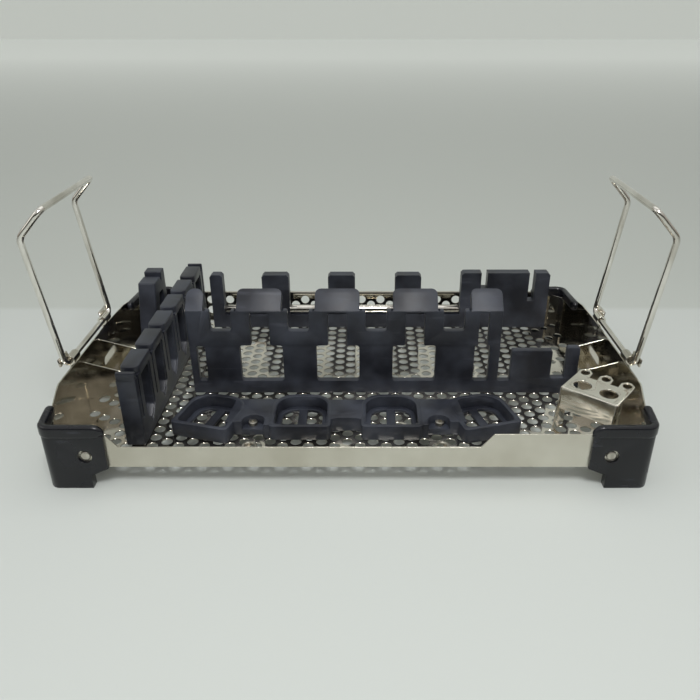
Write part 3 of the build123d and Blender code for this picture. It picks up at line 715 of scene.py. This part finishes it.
def swept_bead(name, path):
    """A rounded section swept along a path of points that each have a size."""
    bpy.ops.object.select_all(action="DESELECT")
    bpy.ops.mesh.primitive_plane_add(size=1)
    line = bpy.context.object
    line.name = name
    bpy.ops.object.mode_set(mode="EDIT")
    bpy.ops.mesh.merge(type="CENTER")
    bpy.ops.transform.translate(value=Vector(path[0][:3]) * MM)
    for before, after in zip(path, path[1:]):
        step = (Vector(after[:3]) - Vector(before[:3])) * MM
        bpy.ops.mesh.extrude_vertices_move(TRANSFORM_OT_translate={"value": step})
    bpy.ops.object.mode_set(mode="OBJECT")
    bpy.ops.object.convert(target="CURVE")
    line = bpy.context.object
    for point in line.data.splines[0].points:
        nearest = min(path, key=lambda spot: (Vector(spot[:3]) * MM - point.co.to_3d()).length)
        point.radius = nearest[3]
    section = ring(scaled(box_corners(-BEAD_HALF_WIDTH, BEAD_HALF_WIDTH, -BEAD_HALF_HEIGHT,
                                      BEAD_HALF_HEIGHT, 2.9)))
    line.data.twist_mode = "Z_UP"
    line.data.bevel_mode = "OBJECT"
    line.data.bevel_object = section
    line.data.use_fill_caps = True
    choose(line)
    bpy.ops.object.convert(target="MESH")
    bpy.data.objects.remove(section)
    return bpy.context.object


for end, leg, wing, sense in (("front", 53.0, 30.0, 1), ("rear", 40.0, 58.0, -1)):
    for side, word in ((-1, "left"), (1, "right")):
        body = welded_copy(f"guard_{end}_{word}", f"guard_{end}_{word}_moulded")
        cut_above(body, BODY_CUT * MM)
        inner = min(abs(vertex.co.x) for vertex in body.data.vertices)
        for vertex in body.data.vertices:
            if abs(vertex.co.x) < inner + 1 * MM and vertex.co.z < 15 * MM:
                vertex.co.z += CORNER_RAISE * MM
        soften(body, 1.0 * MM, 3, **ROUND_MITRE)
        path = [(side * x, sense * y, z, size) for x, y, z, size in bead_path(leg, wing)]
        bead = swept_bead("bead", path)
        guard = join_all([body, bead], f"guard_{end}_{word}_moulded")
        edit_all(guard)
        bpy.ops.mesh.normals_make_consistent(inside=False)
        bpy.ops.object.mode_set(mode="OBJECT")
        smooth(guard, 38)
        seat(guard, moulded_acetal, "black_plastic", "tray", f"guard_{end}_{word}")
        print(guard.name, len(guard.data.polygons), "faces")

# %% [markdown]
# ## Folded sheet parts
# Side walls, fins, hinge clips and the front plate are laser-cut sheet. Their edges are only just
# broken, which is enough for a bright line of light along each. The tongues that rise from the
# clips are cut short on the copies.

# %% Dress the sheet parts
TONGUE_TOP = 76.0 * MM

for side in ("left", "right"):
    for node in (f"side_wall_{side}", f"gusset_front_{side}", f"gusset_rear_{side}"):
        dressed(node, 0.2 * MM, sheet_steel, "sheet_steel", steps=1)
    clips = dressed(f"hinge_clips_{side}", 0.2 * MM, sheet_steel, "sheet_steel", steps=1)
    cut_above(clips, TONGUE_TOP)
dressed("front_plate", 0.3 * MM, plate_steel, "sheet_steel")
print("sheet parts dressed")

# %% [markdown]
# ## The accessory bracket
# Three holed ears stand behind the bracket's top. They are bent up only a little, so on the copy
# they are turned down from the CAD angle about the bend line before the edges are broken.

# %% Dress the bracket
BRACKET_MIDDLE, BRACKET_TURN = Vector((210.5, -92.5, 61.0)) * MM, math.radians(-40)
BEND_LINE, EARS_DOWN = 15.5 * MM, math.radians(27)

bracket = welded_copy("accessory_bracket", "accessory_bracket_bent")
along = Vector((math.cos(BRACKET_TURN), math.sin(BRACKET_TURN), 0))
behind = Vector((-along.y, along.x, 0))
for vertex in bracket.data.vertices:
    place = vertex.co - BRACKET_MIDDLE
    out, rise = place.dot(behind) - BEND_LINE, place.z
    if out > 0.9 * MM:
        new_out = out * math.cos(EARS_DOWN) + rise * math.sin(EARS_DOWN)
        new_rise = rise * math.cos(EARS_DOWN) - out * math.sin(EARS_DOWN)
        vertex.co += behind * (new_out - out) + Vector((0, 0, new_rise - rise))
soften(bracket, 0.3 * MM, 2, use_clamp_overlap=True)
smooth(bracket)
seat(bracket, bracket_steel, "sheet_steel", "tray", "accessory_bracket")
print("bracket", len(bracket.data.polygons), "faces")

# %% [markdown]
# ## Perforated sheet
# The floor is stock perforated sheet: 3/8 inch holes on 1/2 inch staggered centres. CAD keeps one
# hole in nine to stay light, so the real pattern is made here. A flat outline curve with circles
# inside it fills like a sheet with holes, and extruding it gives the sheet its thickness and the
# holes their punched walls. One row of circles is drawn and copied back, and circles that fall on
# the plain border are deleted.

# %% Draw a pierced sheet
SHEET_EDGE = 0.12 * MM


def pierced_sheet(name, points, columns, rows, keep):
    """A sheet cut to an outline, lying at Z 0, with holes at the lattice places that keep allows."""
    sheet = ring([(x, y, 0) for x, y in points])
    sheet.name = name
    first_x, column_count = columns
    first_y, row_count = rows
    bpy.ops.object.select_all(action="DESELECT")
    bpy.ops.curve.primitive_bezier_circle_add(radius=HOLE_DIAMETER / 2,
                                              location=(first_x, first_y, 0))
    holes = bpy.context.object
    bpy.ops.object.transform_apply(location=True, rotation=False, scale=False)
    bpy.ops.object.mode_set(mode="EDIT")
    for column in range(1, column_count):
        bpy.ops.curve.duplicate()
        rise = HOLE_PITCH / 2 if column % 2 else -HOLE_PITCH / 2
        bpy.ops.transform.translate(value=(COLUMN_STEP, rise, 0))
    bpy.ops.curve.select_all(action="SELECT")
    for row in range(1, row_count):
        bpy.ops.curve.duplicate()
        bpy.ops.transform.translate(value=(0, HOLE_PITCH, 0))
    bpy.ops.object.mode_set(mode="OBJECT")
    for spline in holes.data.splines:
        middle = sum((p.co for p in spline.bezier_points), Vector()) / len(spline.bezier_points)
        away = not keep(middle.x, middle.y)
        for point in spline.bezier_points:
            point.select_control_point = away
            point.select_left_handle = away
            point.select_right_handle = away
    bpy.ops.object.mode_set(mode="EDIT")
    bpy.ops.curve.delete(type="VERT")
    bpy.ops.object.mode_set(mode="OBJECT")
    count = len(holes.data.splines)
    sheet.select_set(True)
    bpy.context.view_layer.objects.active = sheet
    bpy.ops.object.join()
    sheet.data.dimensions = "2D"
    sheet.data.fill_mode = "BOTH"
    sheet.data.resolution_u = 4
    sheet.data.extrude = SHEET / 2 - SHEET_EDGE
    sheet.data.bevel_depth = SHEET_EDGE
    sheet.data.bevel_resolution = 0
    sheet.data.offset = -SHEET_EDGE
    bpy.ops.object.convert(target="MESH")
    print(name, count, "holes", len(bpy.context.object.data.polygons), "faces")
    return bpy.context.object


# %% [markdown]
# ## The floor
# The lattice runs under the whole tray. Along both sides, where fins and clips are fixed, every
# other slanting row is left unpunched.

# %% Make the floor
SOLID_BORDER, SIDE_ZONE = 8.5 * MM, 205 * MM


def right_half(inset):
    """The right side of the tray's plan: folded corners, and a side that widens between folds."""
    end, side = STEEL_HALF_WIDTH - inset, STEEL_HALF_WIDTH + SIDE_FLARE - inset
    far = STEEL_HALF_DEPTH - inset
    start, full = HALF_DEPTH - SIDE_FOLD_START, HALF_DEPTH - SIDE_FOLD_END
    quarter = [(end - CORNER_FOLD, far), (end, far - CORNER_FOLD), (end, start), (side, full)]
    return quarter + [(x, -y) for x, y in reversed(quarter)]


def floor_keeps(x, y):
    """Whether the floor has a hole here."""
    if abs(x) > STEEL_HALF_WIDTH - SOLID_BORDER or abs(y) > STEEL_HALF_DEPTH - SOLID_BORDER:
        return False
    if abs(x) + abs(y) > STEEL_HALF_WIDTH + STEEL_HALF_DEPTH - CORNER_FOLD - 1.4 * SOLID_BORDER:
        return False
    if abs(x) < SIDE_ZONE:
        return True
    across = HOLE_X - x if x > 0 else x - HOLE_X
    slanting_row = round((y - HOLE_Y) / HOLE_PITCH + across / (2 * COLUMN_STEP))
    return slanting_row % 2 == 1


right = right_half(SHEET)
floor = pierced_sheet("perforated_floor", right + [(-x, y) for x, y in reversed(right)],
                      (HOLE_X - 24 * COLUMN_STEP, 47), (HOLE_Y - 3 * HOLE_PITCH, 27), floor_keeps)
floor.location.z = (floor_low.z + floor_high.z) / 2
bpy.ops.object.transform_apply(location=True, rotation=True, scale=False)
smooth(floor, 30)
seat(floor, sheet_steel, "sheet_steel", "tray", "base_sheet")

# %% [markdown]
# ## The rear wall
# The sheet folds up at the back with four staggered rows of the same holes. It is drawn flat,
# stood up, and given a rolled hem along its top.

# %% Make the rear wall
REAR_ROW_TOP, REAR_ROWS = 44.0 * MM, 2
HEM_HEIGHT, HEM_DEPTH, HEM_ROUND = 2.6, 3.0, 1.1

rear_end = STEEL_HALF_WIDTH - CORNER_FOLD
rear_points = [(-rear_end, floor_low.z), (rear_end, floor_low.z), (rear_end, REAR_LOW_TOP),
               (REAR_HIGH_HALF, REAR_LOW_TOP), (REAR_HIGH_HALF, REAR_TOP), (-REAR_HIGH_HALF, REAR_TOP),
               (-REAR_HIGH_HALF, REAR_LOW_TOP), (-rear_end, REAR_LOW_TOP)]


def rear_keeps(x, z):
    """Whether the rear wall has a hole here."""
    return abs(x) < REAR_HIGH_HALF - SOLID_BORDER and z < REAR_TOP - SOLID_BORDER


rear = pierced_sheet("perforated_rear_wall", rear_points, (HOLE_X - 20 * COLUMN_STEP, 41),
                     (REAR_ROW_TOP - HOLE_PITCH, REAR_ROWS), rear_keeps)
rear.rotation_euler.x = math.radians(90)
rear.location.y = STEEL_HALF_DEPTH - SHEET / 2
bpy.ops.object.transform_apply(location=True, rotation=True, scale=False)
smooth(rear, 30)
hem_x, hem_z = REAR_HIGH_HALF / MM - 0.5, REAR_TOP / MM + 0.1
hem_y = STEEL_HALF_DEPTH / MM + 0.1
hem = slab("rolled_hem", box_corners(-hem_x, hem_x, hem_z - HEM_HEIGHT, hem_z, 0.2), [],
           hem_y - HEM_DEPTH, hem_y, HEM_ROUND, FACING_FRONT)
rear = join_all([rear, hem], "perforated_rear_wall")
smooth(rear, 30)
seat(rear, sheet_steel, "sheet_steel", "tray", "rear_wall")

# %% [markdown]
# ## Bail handles
# Each handle is one length of 5.5 mm wire bent into a closed loop: a pivot bar, two legs that
# lean out, two knees and the grip. Six corner points make the loop, bevelling the points gives
# the bends, and a round curve bevel gives the wire its thickness.

# %% Make a handle
def wire_handle(name, side):
    """One closed wire loop, drawn through its corners and bent at each."""
    knee = Vector((math.sin(LEAN), 0, math.cos(LEAN))) * LEG_LENGTH
    grip = knee + Vector((math.sin(LEAN - KNEE), 0, math.cos(LEAN - KNEE))) * KNEE_LENGTH
    front = [Vector((PIVOT_X, HANDLE_FRONT, PIVOT_Z)) + step for step in (Vector(), knee, grip)]
    rear = [Vector((PIVOT_X, HANDLE_BACK, PIVOT_Z)) + step for step in (grip, knee, Vector())]
    loop = point_loop([(side * corner.x, corner.y, corner.z) for corner in front + rear])
    loop.name = name
    spots = [vertex.co.copy() for vertex in loop.data.vertices]
    for corners, trim in (((1, 4), KNEE_TRIM), ((0, 2, 3, 5), WIRE_BEND)):
        round_points(loop, [spots[index] for index in corners], trim)
    bpy.ops.object.convert(target="CURVE")
    bpy.context.object.data.bevel_depth = WIRE_RADIUS
    bpy.context.object.data.bevel_resolution = 4
    bpy.ops.object.convert(target="MESH")
    smooth(bpy.context.object, 60)
    return bpy.context.object


for side, word in ((-1, "left"), (1, "right")):
    loop = wire_handle(f"wire_loop_{word}", side)
    seat(loop, wire_steel, "polished_wire", f"{word}_bail", f"handle_{word}")
    print(loop.name, len(loop.data.polygons), "faces")

# %% [markdown]
# ## Support rod
# A plain bright rod with turned ends lies in the rear comb's posts.

# %% Make the rod
rod_low, rod_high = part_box("support_rod")
rod_middle = (rod_low + rod_high) / 2
bpy.ops.object.select_all(action="DESELECT")
bpy.ops.mesh.primitive_cylinder_add(vertices=40, radius=(rod_high.z - rod_low.z) / 2,
                                    depth=rod_high.x - rod_low.x, location=rod_middle,
                                    rotation=(0, math.radians(90), 0))
rod = bpy.context.object
rod.name = "bright_rod"
bpy.ops.object.transform_apply(location=True, rotation=True, scale=False)
soften(rod, 0.8 * MM, 2, 40)
smooth(rod)
seat(rod, wire_steel, "polished_wire", "tray", "support_rod")
print("rod", round((rod_high.x - rod_low.x) / MM), "mm long")

# %% [markdown]
# ## Rivets and screws
# Each of the two is modelled once and copied. A rivet head is a disc whose rim is rounded over
# into a low dome. A screw is a disc with a six-sided drive recess.

# %% Model one of each
def disc(name, radius, height, sides=28):
    """A disc that stands on Z 0."""
    bpy.ops.object.select_all(action="DESELECT")
    bpy.ops.mesh.primitive_cylinder_add(vertices=sides, radius=radius, depth=height,
                                        location=(0, 0, height / 2))
    made = bpy.context.object
    made.name = name
    bpy.ops.object.transform_apply(location=True, rotation=False, scale=False)
    return made


def pick_faces(piece, wanted):
    """Open a piece in edit mode with only the wanted faces selected."""
    choose(piece)
    bpy.ops.object.mode_set(mode="EDIT")
    bpy.ops.mesh.select_mode(type="FACE")
    bpy.ops.mesh.select_all(action="DESELECT")
    bpy.ops.object.mode_set(mode="OBJECT")
    for face in piece.data.polygons:
        face.select = wanted(face.center, face.normal)
    bpy.ops.object.mode_set(mode="EDIT")


RIVET_RADIUS, RIVET_HEIGHT = 4.2 * MM, 1.6 * MM
SCREW_RADIUS, SCREW_HEIGHT, SOCKET_RADIUS = 4.0 * MM, 3.0 * MM, 2.0 * MM

rivet = disc("rivet_pattern", RIVET_RADIUS, RIVET_HEIGHT)
pick_faces(rivet, lambda centre, normal: normal.z > 0.9)
bpy.ops.mesh.bevel(offset=1.3 * MM, segments=4, affect="EDGES")
bpy.ops.object.mode_set(mode="OBJECT")
smooth(rivet, 50)

screw = disc("screw_pattern", SCREW_RADIUS, SCREW_HEIGHT, sides=24)
pick_faces(screw, lambda centre, normal: normal.z > 0.9)
bpy.ops.mesh.bevel(offset=0.5 * MM, segments=2, affect="EDGES")
bpy.ops.object.mode_set(mode="OBJECT")
socket = disc("socket_cutter", SOCKET_RADIUS, SCREW_HEIGHT, sides=6)
socket.location.z = SCREW_HEIGHT / 2
bpy.ops.object.transform_apply(location=True, rotation=False, scale=False)
apply_modifier(screw, "BOOLEAN", operation="DIFFERENCE", object=socket, solver="EXACT")
bpy.data.objects.remove(socket)
smooth(screw, 40)
print("one rivet and one screw modelled")


# %% [markdown]
# ## Setting the fasteners
# The places come from the CAD nodes themselves: each loose solid of a fastener node is found, and
# a copy of the pattern is put where it is, standing on the face that the CAD one stands on.

# %% Find the solids of a node
def solid_boxes(node):
    """(low, high) corners of each separate solid in a CAD node."""
    probe = welded_copy(node, node + "_probe")
    edit_all(probe)
    bpy.ops.mesh.separate(type="LOOSE")
    bpy.ops.object.mode_set(mode="OBJECT")
    parts = [o for o in bpy.context.selected_objects if o.name.startswith(node + "_probe")]
    boxes = []
    for part in parts:
        spots = [v.co for v in part.data.vertices]
        boxes.append((Vector([min(s[i] for s in spots) for i in range(3)]),
                      Vector([max(s[i] for s in spots) for i in range(3)])))
        bpy.data.objects.remove(part)
    return sorted(boxes, key=lambda box: tuple(box[0]))


def set_copies(pattern, name, places, slot_name, *replaced):
    """Join turned and moved copies of a pattern into one piece."""
    copies = []
    for place, direction in places:
        copy = bpy.data.objects.new(name, pattern.data.copy())
        bpy.context.scene.collection.objects.link(copy)
        copy.location = place
        copy.rotation_euler = Vector(direction).to_track_quat("Z", "Y").to_euler()
        copies.append(copy)
    joined = join_all(copies, name)
    bpy.ops.object.transform_apply(location=True, rotation=True, scale=False)
    seat(joined, fastener_steel, slot_name, "tray", *replaced)
    print(name, len(copies), "copies")


# %% Set rivets and screws
corner_rivets = []
for low, high in solid_boxes("guard_rivets"):
    outward = 1 if low.y > 0 else -1
    base = low.y if outward > 0 else high.y
    corner_rivets.append((((low.x + high.x) / 2, base, (low.z + high.z) / 2), (0, outward, 0)))
set_copies(rivet, "corner_rivet_heads", corner_rivets, "fastener_steel", "guard_rivets")

for side, word in ((-1, "left"), (1, "right")):
    places = []
    for low, high in solid_boxes(f"clip_rivets_{word}"):
        outer = high.x if side > 0 else low.x
        spot = (outer - side * RIVET_HEIGHT, (low.y + high.y) / 2, (low.z + high.z) / 2)
        places.append((spot, (side, 0, 0)))
    set_copies(rivet, f"clip_rivet_heads_{word}", places, "fastener_steel", f"clip_rivets_{word}")

for node, name in (("comb_screws", "comb_foot_screws"), ("block_screws", "pocket_ledge_screws")):
    places = [(((low.x + high.x) / 2, (low.y + high.y) / 2, low.z), (0, 0, 1))
              for low, high in solid_boxes(node)]
    set_copies(screw, name, places, "fastener_steel", node)
bpy.data.objects.remove(rivet)
bpy.data.objects.remove(screw)

# %% [markdown]
# ## Eyelets in the floor
# Two rolled eyelets stand on the floor in front of the pocket block.

# %% Make the eyelets
dressed("floor_rings", 0.5 * MM, fastener_steel, "fastener_steel", steps=2)
print("eyelets rounded")
